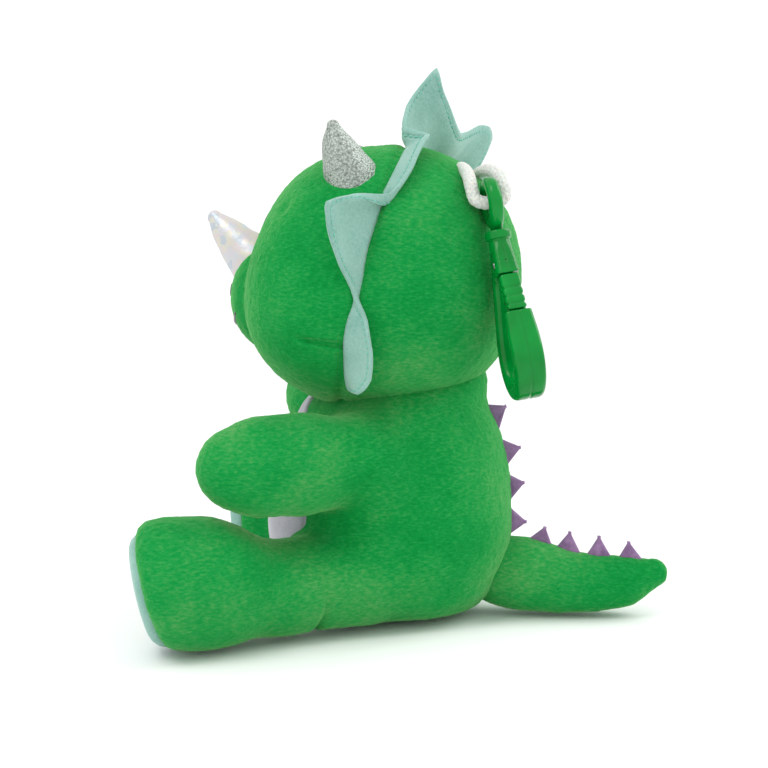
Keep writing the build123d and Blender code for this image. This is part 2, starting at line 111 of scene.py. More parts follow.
# --- materials --------------------------------------------------------------------------------
class Surface:
    """A node material with one Principled shader and helpers for procedural patterns."""

    def __init__(self, name, **values):
        self.material = bpy.data.materials.new(name)
        self.material.use_nodes = True
        self.nodes = self.material.node_tree.nodes
        self.links = self.material.node_tree.links
        self.shader = self.nodes["Principled BSDF"]
        self.place = self.nodes.new("ShaderNodeTexCoord").outputs["Object"]
        for socket, value in values.items():
            self.shader.inputs[socket.replace("_", " ")].default_value = value

    def stretched(self, scale):
        """The object's coordinates, each direction multiplied."""
        node = self.nodes.new("ShaderNodeMapping")
        node.inputs["Scale"].default_value = scale
        self.links.new(self.place, node.inputs["Vector"])
        return node.outputs["Vector"]

    def noise(self, size, detail=2.0, roughness=0.5, scale=None, distortion=0.0):
        """Noise with features of that size in mm."""
        node = self.nodes.new("ShaderNodeTexNoise")
        node.inputs["Scale"].default_value = 1 / (size * MM)
        node.inputs["Detail"].default_value = detail
        node.inputs["Roughness"].default_value = roughness
        node.inputs["Distortion"].default_value = distortion
        self.links.new(self.stretched(scale) if scale else self.place, node.inputs["Vector"])
        return node.outputs["Fac"]

    def cells(self, size, output="Distance"):
        """Rounded cells of that size in mm."""
        node = self.nodes.new("ShaderNodeTexVoronoi")
        node.inputs["Scale"].default_value = 1 / (size * MM)
        self.links.new(self.place, node.inputs["Vector"])
        return node.outputs[output]

    def blend(self, factor, first, second):
        """A number part of the way from first to second."""
        node = self.nodes.new("ShaderNodeMix")
        node.data_type = "FLOAT"
        for socket, value in zip(("Factor", "A", "B"), (factor, first, second)):
            entry = next(i for i in node.inputs if i.name == socket and i.type == "VALUE")
            if isinstance(value, (int, float)):
                entry.default_value = value
            else:
                self.links.new(value, entry)
        return next(o for o in node.outputs if o.type == "VALUE")

    def ramp(self, factor, stops):
        """A colour ramp: stops are (place, colour)."""
        node = self.nodes.new("ShaderNodeValToRGB")
        ramp = node.color_ramp
        while len(ramp.elements) < len(stops):
            ramp.elements.new(0.5)
        for element, (place, colour) in zip(ramp.elements, stops):
            element.position = place
            element.color = (*colour, 1)
        self.links.new(factor, node.inputs["Fac"])
        return node.outputs["Color"]

    def colour(self, output):
        self.links.new(output, self.shader.inputs["Base Color"])

    def two_tone(self, factor, dark, pale):
        self.colour(self.ramp(factor, [(0.3, dark), (0.7, pale)]))

    def bump(self, height, distance, strength=1.0):
        """Adds relief of that depth in mm, on top of any already there."""
        node = self.nodes.new("ShaderNodeBump")
        node.inputs["Strength"].default_value = strength
        node.inputs["Distance"].default_value = distance * MM
        self.links.new(height, node.inputs["Height"])
        normal = self.shader.inputs["Normal"]
        if normal.is_linked:
            self.links.new(normal.links[0].from_socket, node.inputs["Normal"])
        self.links.new(node.outputs["Normal"], normal)


def plush_material():
    """Short velvet pile: raked patches, faint knit rows and a pale sheen at the rims."""
    surface = Surface("plush", Roughness=0.9, Sheen_Weight=0.55, Sheen_Roughness=0.3,
                      Sheen_Tint=(0.50, 1.0, 0.40, 1), Specular_IOR_Level=0.08)
    patches = surface.noise(20, detail=1.0, distortion=0.3)
    raked = surface.noise(5.0, detail=2.0, scale=(1, 1, 1.5))
    rows = surface.noise(0.55, detail=2.0, roughness=0.6, scale=(0.5, 0.5, 1.3))
    shade = surface.blend(0.45, surface.blend(0.25, patches, raked), rows)
    surface.colour(surface.ramp(shade, [
        (0.32, (0.000, 0.205, 0.032)), (0.44, (0.003, 0.250, 0.044)), (0.52, (0.014, 0.278, 0.055)),
        (0.61, (0.045, 0.304, 0.070)), (0.73, (0.110, 0.350, 0.105))]))
    surface.bump(surface.noise(0.45, detail=3.0, roughness=0.7), 0.22, 0.9)
    surface.bump(raked, 0.5, 0.35)
    return surface.material


def tricot_material():
    """Brushed mint cloth with a faint fine knit."""
    surface = Surface("mint_tricot", Roughness=0.7, Sheen_Weight=0.35, Sheen_Roughness=0.4,
                      Sheen_Tint=(0.85, 1.0, 0.95, 1), Specular_IOR_Level=0.25)
    shade = surface.blend(0.5, surface.noise(6, detail=2.0), surface.noise(0.5, detail=2.0))
    surface.colour(surface.ramp(shade, [
        (0.30, (0.165, 0.355, 0.295)), (0.50, (0.228, 0.420, 0.358)), (0.70, (0.290, 0.480, 0.418))]))
    surface.bump(surface.noise(0.28, detail=2.0, scale=(1, 1, 0.6)), 0.07, 0.7)
    return surface.material


def seam_thread_material():
    surface = Surface("mint_thread", Roughness=0.55, Sheen_Weight=0.2)
    surface.two_tone(surface.noise(0.5), (0.10, 0.38, 0.29), (0.19, 0.50, 0.40))
    surface.bump(surface.noise(0.12), 0.04, 0.8)
    return surface.material


def felt_material():
    surface = Surface("purple_felt", Roughness=0.95, Sheen_Weight=0.4, Sheen_Roughness=0.5,
                      Sheen_Tint=(0.9, 0.8, 1.0, 1), Specular_IOR_Level=0.1)
    shade = surface.blend(0.5, surface.noise(1.6, detail=3.0), surface.noise(0.25, detail=3.0, roughness=0.7))
    surface.colour(surface.ramp(shade, [
        (0.30, (0.170, 0.085, 0.200)), (0.50, (0.290, 0.165, 0.330)), (0.70, (0.390, 0.240, 0.430))]))
    surface.bump(surface.noise(0.22, detail=4.0, roughness=0.75), 0.14, 0.9)
    return surface.material


def foil_material():
    """Silver cloth with a pearly film: broken patches of pale rose, gold and blue."""
    surface = Surface("silver_foil", Metallic=0.4, Roughness=0.4, Coat_Weight=0.1, Coat_Roughness=0.3)
    flakes = surface.cells(1.5, output="Color")
    split = surface.nodes.new("ShaderNodeSeparateColor")
    surface.links.new(flakes, split.inputs["Color"])
    shade = surface.blend(0.55, surface.noise(4.5, detail=2.0, distortion=0.6), split.outputs["Red"])
    surface.colour(surface.ramp(shade, [
        (0.25, (0.44, 0.49, 0.54)), (0.42, (0.54, 0.55, 0.58)), (0.55, (0.59, 0.53, 0.55)),
        (0.68, (0.60, 0.57, 0.48)), (0.80, (0.52, 0.58, 0.60))]))
    surface.bump(surface.noise(0.6, detail=3.0), 0.12, 0.5)
    return surface.material


def glitter_material():
    """Silver metallic knit: tiny bright loops, their colour painted darker in the sunken gaps between them as
    painted shade.
    """
    surface = Surface("silver_glitter", Metallic=0.75, Roughness=0.42)
    loop_bump_and_gap_shade = surface.cells(0.42)
    sparkle = surface.noise(0.35, detail=3.0, roughness=0.8)
    shade = surface.blend(0.5, loop_bump_and_gap_shade, sparkle)
    # The ramp paints the colour darker where the loop bump sinks between loops, as painted shade, mixed with
    # random fine flecks.
    surface.colour(surface.ramp(shade, [
        (0.25, (0.52, 0.58, 0.53)), (0.45, (0.40, 0.45, 0.41)), (0.60, (0.26, 0.29, 0.26)),
        (0.80, (0.13, 0.15, 0.13))]))
    surface.bump(loop_bump_and_gap_shade, -0.16, 0.9)
    surface.bump(sparkle, 0.08, 0.7)
    return surface.material


def satin_material():
    """Silver-lilac belly cloth with a soft woven shine."""
    surface = Surface("silver_satin", Metallic=0.25, Roughness=0.42, Sheen_Weight=0.2)
    shade = surface.blend(0.5, surface.noise(5, detail=2.0), surface.noise(0.4, detail=2.0))
    surface.two_tone(shade, (0.25, 0.24, 0.29), (0.42, 0.40, 0.47))
    surface.bump(surface.noise(0.25, detail=2.0, scale=(1, 1, 3)), 0.05, 0.6)
    return surface.material


def thread_material():
    surface = Surface("dark_thread", Roughness=0.35, Sheen_Weight=0.25, Coat_Weight=0.2)
    surface.two_tone(surface.noise(0.3, scale=(4, 1, 1)), (0.010, 0.010, 0.012), (0.035, 0.035, 0.040))
    surface.bump(surface.noise(0.22, scale=(3.5, 1, 0.5)), 0.10, 0.8)
    return surface.material


def white_thread_material():
    surface = Surface("white_thread", Roughness=0.4, Sheen_Weight=0.2)
    surface.two_tone(surface.noise(0.3), (0.75, 0.75, 0.75), (0.88, 0.88, 0.88))
    surface.bump(surface.noise(0.2), 0.06, 0.7)
    return surface.material


def cord_material():
    surface = Surface("white_cord", Roughness=0.75, Sheen_Weight=0.4, Subsurface_Weight=0.15,
                      Subsurface_Scale=0.001)
    surface.two_tone(surface.noise(0.5, detail=3.0), (0.52, 0.54, 0.50), (0.72, 0.73, 0.69))
    surface.bump(surface.noise(0.18, detail=3.0), 0.08, 0.8)
    return surface.material


def plastic_material():
    """Glossy moulded green, with faint flow marks and rubbed patches."""
    surface = Surface("green_plastic", Coat_Weight=0.05, Coat_Roughness=0.05, Specular_IOR_Level=0.2)
    surface.two_tone(surface.noise(7, detail=2.0), (0.000, 0.165, 0.020), (0.000, 0.250, 0.034))
    rubbed = surface.blend(surface.noise(2.2, detail=4.0), 0.06, 0.20)
    surface.links.new(rubbed, surface.shader.inputs["Roughness"])
    surface.bump(surface.noise(2.5, detail=2.0), 0.05, 0.6)
    return surface.material


def steel_material():
    surface = Surface("steel_pin", Metallic=1.0, Roughness=0.3)
    surface.two_tone(surface.noise(0.5, scale=(1, 1, 6)), (0.48, 0.48, 0.49), (0.62, 0.62, 0.63))
    surface.bump(surface.noise(0.3, scale=(1, 1, 8)), 0.01, 0.5)
    return surface.material


# --- fields: each gives the distance from its surface in mm, less than 0 inside -----------------
def dot(a, b):
    return np.sum(a * b, axis=-1)


def unit(vector):
    vector = np.asarray(vector, float)
    return vector / np.linalg.norm(vector)


def soft_noise(points, size, seed=0):
    """Smooth value noise from -1 to 1 with features of that size in mm."""
    place = points / size
    corner = np.floor(place).astype(np.int64)
    step = place - corner
    step = step * step * (3 - 2 * step)
    total = np.zeros(points.shape[:-1])
    for dx in (0, 1):
        for dy in (0, 1):
            for dz in (0, 1):
                key = ((corner[..., 0] + dx) * 73856093) ^ ((corner[..., 1] + dy) * 19349663)
                key = key ^ ((corner[..., 2] + dz) * 83492791) ^ (seed * 2654435761)
                weight = (np.where(dx, step[..., 0], 1 - step[..., 0])
                          * np.where(dy, step[..., 1], 1 - step[..., 1])
                          * np.where(dz, step[..., 2], 1 - step[..., 2]))
                total += weight * noise_table[key & 4095]
    return total


def smooth_curve(at, knots, values):
    """A curve through the knots with no corners (Catmull-Rom)."""
    knots, values = np.asarray(knots, float), np.asarray(values, float)
    slopes = np.gradient(values, knots, axis=0)
    at = np.clip(at, knots[0], knots[-1])
    span = np.clip(np.searchsorted(knots, at, side="right") - 1, 0, len(knots) - 2)
    width = knots[span + 1] - knots[span]
    t = (at - knots[span]) / width
    if values.ndim > 1:
        t, width = t[..., None], width[..., None]
    return ((2 * t ** 3 - 3 * t ** 2 + 1) * values[span] + (t ** 3 - 2 * t ** 2 + t) * width * slopes[span]
            + (3 * t ** 2 - 2 * t ** 3) * values[span + 1] + (t ** 3 - t ** 2) * width * slopes[span + 1])


def join(a, b, width):
    """The union of two forms with a soft fillet."""
    h = np.clip(width - np.abs(a - b), 0, None) / width
    return np.minimum(a, b) - h * h * width / 4


def cut(a, b, width):
    """The part in both forms, with a soft edge."""
    return -join(-a, -b, width)


def ball(points, centre, radii):
    """An ellipsoid."""
    radii = np.asarray(radii, float)
    scaled = (points - np.asarray(centre, float)) / radii
    return (np.sqrt(dot(scaled, scaled)) - 1) * radii.min()


def limb(points, spine):
    """A stuffed tube through balls given as (centre, radius), with each length blended into the next."""
    total = None
    for (start, start_radius), (end, end_radius) in zip(spine, spine[1:]):
        start, end = np.asarray(start, float), np.asarray(end, float)
        along = end - start
        t = np.clip(dot(points - start, along) / dot(along, along), 0, 1)
        away = points - start - t[..., None] * along
        length = np.sqrt(dot(away, away)) - start_radius - t * (end_radius - start_radius)
        total = length if total is None else join(total, length, 4.0)
    return total


def groove(distance, width, depth):
    """A soft groove along the place where a distance is 0."""
    return depth * np.exp(-(distance / width) ** 2)


# --- meshing ----------------------------------------------------------------------------------
def surface_net(field, low, high, cell):
    """Quads along the zero surface of a field, from a grid with one point in each crossed cell."""
    axes = [np.arange(a, b + cell, cell) for a, b in zip(low, high)]
    shape = [len(axis) for axis in axes]
    value = np.empty(shape, np.float32)
    for i, x in enumerate(axes[0]):
        slab = np.stack(np.broadcast_arrays(x, axes[1][:, None], axes[2][None, :]), -1)
        value[i] = field(slab)
    cell_ids, crossings, quads = [], [], []
    for axis in range(3):
        u, v = (axis + 1) % 3, (axis + 2) % 3
        first = [slice(1, -1)] * 3
        second = [slice(1, -1)] * 3
        first[axis], second[axis] = slice(0, -1), slice(1, None)
        a, b = value[tuple(first)], value[tuple(second)]
        where = np.argwhere((a < 0) != (b < 0))
        here = tuple(where.T)
        fraction = a[here] / (a[here] - b[here])
        start = where.copy()
        start[:, u] += 1
        start[:, v] += 1
        point = start.astype(float)
        point[:, axis] += fraction
        corners = []
        for du, dv in ((0, 0), (-1, 0), (-1, -1), (0, -1)):
            corner = start.copy()
            corner[:, u] += du
            corner[:, v] += dv
            corners.append(np.ravel_multi_index(tuple(corner.T), shape))
            cell_ids.append(corners[-1])
            crossings.append(point)
        quad = np.stack(corners, 1)
        flip = a[here] >= 0
        quad[flip] = quad[flip][:, ::-1]
        quads.append(quad)
    ids, index = np.unique(np.concatenate(cell_ids), return_inverse=True)
    crossings = np.concatenate(crossings)
    counts = np.bincount(index)
    points = np.stack([np.bincount(index, crossings[:, k]) / counts for k in range(3)], 1)
    return points * cell + np.asarray(low, float), np.searchsorted(ids, np.concatenate(quads))


def gradient(field, points, step=0.05):
    slopes = []
    for axis in range(3):
        shift = np.zeros(3)
        shift[axis] = step
        slopes.append((field(points + shift) - field(points - shift)) / (2 * step))
    return np.stack(slopes, -1)


def settle(field, points, rounds=3):
    """Moves points onto the zero surface."""
    for _ in range(rounds):
        slope = gradient(field, points)
        move = field(points) / np.maximum(dot(slope, slope), 0.05)
        points = points - np.clip(move, -0.8, 0.8)[:, None] * slope
    return points


def relax(points, quads, rounds=2):
    """Evens out the spacing of a closed mesh."""
    starts = quads.ravel()
    ends = np.roll(quads, -1, axis=1).ravel()
    counts = sum(np.bincount(corners, minlength=len(points)) for corners in (starts, ends))[:, None]
    for _ in range(rounds):
        total = np.stack([np.bincount(starts, points[ends, k], len(points))
                          + np.bincount(ends, points[starts, k], len(points)) for k in range(3)], 1)
        points = points * 0.4 + total / np.maximum(counts, 1) * 0.6
    return points


def mesh_normals(points, faces):
    """One normal for each point, from the faces round it."""
    a, b = points[faces[:, 2]] - points[faces[:, 0]], points[faces[:, 3]] - points[faces[:, 1]]
    normal = np.cross(a, b)
    total = np.zeros_like(points)
    for corner in range(4):
        for k in range(3):
            total[:, k] += np.bincount(faces[:, corner], normal[:, k], len(points))
    return total / np.maximum(np.linalg.norm(total, axis=1), 1e-12)[:, None]


def new_piece(name, points, faces, material, normals=None):
    """A smooth-shaded mesh object; points are in mm."""
    mesh = bpy.data.meshes.new(name)
    mesh.from_pydata((np.asarray(points) * MM).tolist(), [], [list(map(int, face)) for face in faces])
    mesh.shade_smooth()
    mesh.materials.append(material)
    if normals is not None:
        mesh.normals_split_custom_set_from_vertices(normals.tolist())
    piece = bpy.data.objects.new(name, mesh)
    bpy.context.collection.objects.link(piece)
    return piece


def skin(field, low, high, cell, pile=0.0, lumps=0.0):
    """A stuffed cover's outer surface, its pile standing up unevenly: (points, quads, normals)."""
    points, quads = surface_net(field, low, high, cell)
    points = settle(field, relax(settle(field, points, 2), quads), 3)
    normals = mesh_normals(points, quads)
    if pile:
        tufts = 0.6 * soft_noise(points, 1.1, 3) + 0.4 * soft_noise(points, 0.6, 5)
        combed = soft_noise(points, 3.4, 11)
        stuffing = soft_noise(points, 10.0, 17)
        points = points + normals * (pile * (tufts + 0.5 * combed) + lumps * stuffing)[:, None]
        normals = mesh_normals(points, quads)
    return points, quads, normals


def region(points, quads, normals, keep):
    """The faces of a mesh whose every corner is kept, with their own list of points."""
    chosen = quads[keep]
    ids, index = np.unique(chosen, return_inverse=True)
    return points[ids], index.reshape(chosen.shape), normals[ids]


# --- body: torso, arms and legs are one skin, parted where each limb's bend begins --------------
TORSO_HEIGHTS = [0.2, 1.5, 4, 9.5, 16, 25, 33, 40, 45, 50, 54]
TORSO_BACK = [8, 12, 15.2, 18.4, 20.4, 20.4, 19.4, 17.6, 15.4, 15.2, 14]
TORSO_FRONT = [-14, -20, -24, -28, -30, -30, -28, -25, -22.5, -17, -9]
TORSO_HALF_WIDTH = [11, 16, 20, 23.5, 25, 25, 24, 22.5, 20.5, 15, 7]

ARM_HINGE = {"left": (22.5, -10.5, 35.2), "right": (-22.5, -10.5, 36.0)}
ARM_AIM = {"left": unit((0.54, -0.84, -0.02)), "right": unit((-0.71, -0.63, 0.30))}
LEG_HINGE = {"left": (18.5, -13.5, 11.9), "right": (-18.5, -13.0, 11.9)}
LEG_AIM = {"left": unit((0.56, -0.83, 0.018)), "right": unit((-0.60, -0.80, 0.018))}
SOLE_TILT = math.radians(13)
SOLE_TURN = math.radians(13)   # outward from straight ahead
SOLE_OFFSET = {"left": 11.6, "right": 6.4}
SOLE_ALONG, SOLE_LIFT = 28.5, 1.7
SOLE_RADIUS = 10.9


def torso_field(points):
    x, y, z = points[..., 0], points[..., 1], points[..., 2]
    back = smooth_curve(z, TORSO_HEIGHTS, TORSO_BACK)
    front = smooth_curve(z, TORSO_HEIGHTS, TORSO_FRONT)
    half_width = smooth_curve(z, TORSO_HEIGHTS, TORSO_HALF_WIDTH)
    half_depth = (back - front) / 2
    ring = np.sqrt((x / half_width) ** 2 + ((y - (back + front) / 2) / half_depth) ** 2)
    body = (ring - 1) * np.minimum(half_width, half_depth)
    body = cut(body, 0.3 - z, 3.0)
    return cut(body, z - 54, 3.0)


def on_line(points, hinge, aim):
    """How far along a limb each point is, from its hinge."""
    return dot(points - np.asarray(hinge, float), aim)


def arm_field(points, side):
    hinge, aim = np.asarray(ARM_HINGE[side]), ARM_AIM[side]
    lift = np.array([0, 0, 1.0])
    spine = [(hinge - aim * 2, 8.6), (hinge + aim * 12, 8.9), (hinge + aim * 21 + lift * 0.1, 8.5),
             (hinge + aim * 25.6 + lift * 0.3, 6.5)]
    return limb(points, spine)


def sole_frame(side):
    """(sole centre, the way it faces): nearly straight ahead, with the toes further forward than the heel."""
    level = np.array([SIDES[side] * math.sin(SOLE_TURN), -math.cos(SOLE_TURN), 0])
    facing = level * math.cos(SOLE_TILT) - np.array([0, 0, 1.0]) * math.sin(SOLE_TILT)
    centre = np.asarray(LEG_HINGE[side]) + LEG_AIM[side] * SOLE_ALONG + facing * SOLE_OFFSET[side]
    return centre + [0, 0, SOLE_LIFT], facing


def leg_field(points, side):
    hinge, aim = np.asarray(LEG_HINGE[side]), LEG_AIM[side]
    spine = [(hinge - aim * 3 - [0, 0, 0.5], 11.2), (hinge + aim * 14 - [0, 0, 2.2], 8.6),
             (hinge + aim * 29 + [0, 0, 0.1], 11.9), (hinge + aim * 36.5 + [0, 0, 1.0], 12.3)]
    leg = limb(points, spine)
    sole, facing = sole_frame(side)
    out = dot(points - sole, facing)
    leg = cut(leg, out - 0.2, 4.0)
    rim = np.sqrt(np.maximum(dot(points - sole, points - sole) - out ** 2, 0))
    leg = leg + groove(rim - SOLE_RADIUS, 0.8, 0.7) * (np.abs(out) < 5)
    leg = cut(leg, 0.2 - points[..., 2], 3.0)
    ankle = on_line(points, hinge, aim) - 7.5
    low = np.clip((13 - points[..., 2]) / 8, 0, 1)
    return leg + groove(ankle, 0.9, 0.9) * low


def body_field(points):
    torso = torso_field(points)
    body = torso
    for side in SIDES:
        body = np.minimum(body, join(torso, arm_field(points, side), 5.0))
        body = np.minimum(body, join(torso, leg_field(points, side), 3.0))
    return body


# Each limb: its hinges, its aims, where its own skin starts along it, how far out that skin reaches, and the
# start and end of its bend.
LIMBS = {"arm": (ARM_HINGE, ARM_AIM, 9, 12.5, (10, 19)), "leg": (LEG_HINGE, LEG_AIM, 13, 16, (14, 23))}


def make_body(plush):
    points, quads, normals = skin(body_field, (-55, -57, -1.2), (55, 23, 56), BODY_CELL,
                                  pile=0.14, lumps=0.22)
    points[:, 2] = np.maximum(points[:, 2], 0.02)
    middles = points[quads].mean(axis=1)
    owner = np.full(len(quads), "torso", dtype=object)
    for side in SIDES:
        for kind, (hinges, aims, start, reach, _) in LIMBS.items():
            along = on_line(middles, hinges[side], aims[side])
            away = middles - np.asarray(hinges[side]) - along[:, None] * aims[side]
            owner[(along > start) & (np.sqrt(dot(away, away)) < reach)] = f"{kind}_{side}"
    for name in ("torso", "arm_left", "arm_right", "leg_left", "leg_right"):
        own_points, own_faces, own_normals = region(points, quads, normals, owner == name)
        piece = new_piece(f"{name}_skin", own_points, own_faces, plush, own_normals)
        if name == "torso":
            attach(piece, "torso")
            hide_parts("torso_left_panel", "torso_right_panel", "torso_stuffing", "neck_stuffing",
                        "pellet_fill")
        else:
            kind, side = name.split("_")
            hinges, aims, _, _, bend = LIMBS[kind]
            start, end = (tuple((np.asarray(hinges[side]) + aims[side] * along) * MM) for along in bend)
            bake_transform(piece)
            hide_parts(f"{name}_cover", f"{name}_stuffing")


def patch(name, field, centre, right, up, outline, material, lift, dome, rings=14, spokes=72, tuck=0.5):
    """A sewn-on pad that follows a field's surface: outline(angle) is its radius, dome its extra height."""
    centre, right, up = np.asarray(centre, float), unit(right), unit(up)
    outward = np.cross(right, up)
    points, faces = [centre], []
    for ring in range(1, rings + 1):
        for spoke in range(spokes):
            angle = 2 * math.pi * spoke / spokes
            reach = outline(angle) * math.sin(math.pi / 2 * ring / rings)
            points.append(centre + right * math.cos(angle) * reach + up * math.sin(angle) * reach)
    points = np.array(points)
    # Each point slides straight in until it meets the surface.
    for _ in range(14):
        points = points - outward * np.clip(field(points), -1.5, 1.5)[:, None] * 0.9
    inner = np.concatenate([[0], np.repeat(np.arange(1, rings + 1), spokes) / rings])
    edge = np.clip((1 - inner) * 6, 0, 1)
    height = (lift + tuck) * np.sqrt(edge) - tuck + dome * (1 - inner ** 2)
    slope = gradient(field, points)
    outer = points + slope / np.linalg.norm(slope, axis=1)[:, None] * height[:, None]
    under = points - slope / np.linalg.norm(slope, axis=1)[:, None] * (tuck + 0.3)
    for side, offset in ((1, 0), (-1, len(points))):
        for spoke in range(spokes):
            after = (spoke + 1) % spokes
            first = [offset, offset + 1 + spoke, offset + 1 + after]
            faces.append(first[::side])
            for ring in range(rings - 1):
                a = offset + 1 + ring * spokes
                quad = [a + spoke, a + spokes + spoke, a + spokes + after, a + after]
                faces.append(quad[::side])
    rim, other = 1 + (rings - 1) * spokes, len(points) + 1 + (rings - 1) * spokes
    for spoke in range(spokes):
        after = (spoke + 1) % spokes
        faces.append([rim + after, rim + spoke, other + spoke, other + after])
    piece = new_piece(name, np.concatenate([outer, under]), faces, material)
    return piece


def make_foot_pads(tricot):
    for side in SIDES:
        sole, facing = sole_frame(side)
        right = np.cross([0, 0, 1.0], facing)
        piece = patch(f"foot_{side}_sole", lambda p, s=side: leg_field(p, s), sole + facing * 1.0, right,
                      np.cross(facing, unit(right)), lambda angle: SOLE_RADIUS, tricot, lift=0.05, dome=1.9)
        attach(piece, f"leg_{side}")
        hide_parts(f"foot_{side}_pad")


def make_belly(satin):
    """The silver front panel: widest at the middle, narrow at the neck."""
    def outline(angle):
        half_width = 19.5 - 5 * math.sin(angle)
        return 1 / math.hypot(math.cos(angle) / half_width, math.sin(angle) / 24)
    piece = patch("belly_cloth", torso_field, (0, -32, 25), (1, 0, 0), (0, 0, 1), outline, satin,
                  lift=0.45, dome=0.3, rings=30, spokes=120, tuck=0.6)
    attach(piece, "torso")
    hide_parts("belly_panel")


# --- tail ---------------------------------------------------------------------------------------
TAIL_SPINE = [((0, 18.5, 9.2), 7.3), ((0, 24, 8.2), 6.9), ((0, 31, 6.6), 6.1), ((0, 38, 6.4), 5.2),
              ((0, 44, 7.2), 4.2), ((0, 50.2, 9.2), 2.9)]


def tail_field(points):
    tail = limb(points, TAIL_SPINE)
    return cut(tail, 0.5 - points[..., 2], 2.5)


def make_tail(plush):
    points, quads, normals = skin(tail_field, (-9, 9, -1), (9, 55, 18), FINE_CELL, pile=0.12, lumps=0.15)
    piece = new_piece("tail_skin", points, quads, plush, normals)
    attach(piece, "tail")
    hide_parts("tail_cover", "tail_stuffing")


# --- head -----------------------------------------------------------------------------------------
HEAD_CENTRE = np.array([0, -5.0, 71.0])
HEAD_RADII = np.array([30.5, 27.4, 27.2])
HEAD_ROUNDNESS = 2.15
FACE_SQUARENESS = 3.0
CHEEKS = [((sign * 12.5, -13.5, 64.5), (17.5, 18.3, 16.5)) for sign in SIDES.values()]
SNOUT = ((0, -28.4, 67.0), (13.0, 10.6, 12.0))
SNOUT_SEAM = 1.1            # how softly the snout meets the face
CHIN_HEIGHT = 60            # the middle seam shows above this
EYE_PLACE = 6.6             # from the middle of the face
FRILL_TILT = 0.235          # how much the frill's seam leans back for each mm of height


def head_ball(points):
    """A ball, squarer when seen from above so that the face is flat between the eyes."""
    scaled = np.abs((points - HEAD_CENTRE) / HEAD_RADII)
    squareness = np.where(points[..., 1] < HEAD_CENTRE[1], FACE_SQUARENESS, HEAD_ROUNDNESS)
    level = (scaled[..., 0] ** squareness + scaled[..., 1] ** squareness) ** (HEAD_ROUNDNESS / squareness)
    return ((level + scaled[..., 2] ** HEAD_ROUNDNESS) ** (1 / HEAD_ROUNDNESS) - 1) * HEAD_RADII.min()


def head_field(points):
    x, y, z = points[..., 0], points[..., 1], points[..., 2]
    head = head_ball(points)
    for centre, radii in CHEEKS:
        head = join(head, ball(points, centre, radii), 8.0)
    frill_line = (y + 1.8) - (z - 97.5) * FRILL_TILT
    head = head + groove(frill_line, 0.9, 0.6)
    head = head + groove(x, 0.7, 0.25) * (z > CHIN_HEIGHT)
    head = join(head, ball(points, *SNOUT), SNOUT_SEAM)
    # The dart below each cheek and the small pit where the eye's thread pulls in.
    for sign in SIDES.values():
        dart = (z - 57.8) + 0.15 * (y + 12)
        head = head + groove(dart, 0.55, 0.8) * np.clip(2.2 - np.abs(y + 14.5) / 3.4, 0, 1) * (x * sign > 18)
        pit = points - np.array([sign * 22.0, -24.5, 84.5])
        head = head + 1.3 * np.exp(-dot(pit, pit) / 1.6)
    return head


def make_head(plush):
    points, quads, normals = skin(head_field, (-33, -41, 42), (33, 25, 100.5), BODY_CELL,
                                  pile=0.14, lumps=0.25)
    piece = new_piece("head_skin", points, quads, plush, normals)
    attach(piece, "head")
    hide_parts("face_left_panel", "face_right_panel", "nape_left_panel", "nape_right_panel",
                "head_stuffing", "snout_cover", "snout_stuffing")


def make_face(thread, white):
    for side, sign in SIDES.items():
        eye = patch(f"eye_{side}_thread", head_field, (sign * EYE_PLACE, -36, 82.0), (1, 0, 0), (0, 0.12, 1),
                    lambda angle: 1 / math.hypot(math.cos(angle) / 2.9, math.sin(angle) / 4.2),
                    thread, lift=0.12, dome=0.08, tuck=0.4)
        spark = patch(f"eye_{side}_spark", head_field, (sign * EYE_PLACE + 0.9, -36, 83.7), (1, 0, 0),
                      (0, 0.12, 1), lambda angle: 1.0, white, lift=0.3, dome=0.08, rings=6, spokes=32, tuck=0.1)
        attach(eye, "head")
        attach(spark, "head")
        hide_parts(f"eye_{side}")
        nostril = patch(f"nostril_{side}_thread", head_field, (sign * 2.0, -42, 68.4), (1, 0, 0), (0, 0, 1),
                        lambda angle: 1 / math.hypot(math.cos(angle) / 0.9, math.sin(angle) / 1.3),
                        thread, lift=0.03, dome=0.02, rings=6, spokes=32, tuck=0.3)
        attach(nostril, "head")
        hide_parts(f"nostril_{side}")
    smile = [(x, -42, 61.3 + 0.045 * x * x) for x in np.linspace(-7, 7, 29)]
    mouth = tube("mouth_thread", surface_line(head_field, smile, (0, 1, 0), -0.1), 0.42, thread)
    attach(mouth, "head")
    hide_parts("mouth_stitch")


def surface_line(field, points, inward, lift):
    """The points moved along a direction until they meet a surface."""
    points = np.array(points, float)
    for _ in range(20):
        points = points + np.asarray(inward, float) * np.clip(field(points) - lift, -1.5, 1.5)[:, None] * 0.9
    return points


def frames_along(path):
    """Unit tangents and two steady cross directions along a path."""
    tangents = np.gradient(path, axis=0)
    tangents /= np.linalg.norm(tangents, axis=1)[:, None]
    side = unit(np.cross(tangents[0], [0.3, 0.2, 1.0]))
    sides = []
    for tangent in tangents:
        side = unit(side - dot(side, tangent) * tangent)
        sides.append(side)
    sides = np.array(sides)
    return tangents, sides, np.cross(tangents, sides)


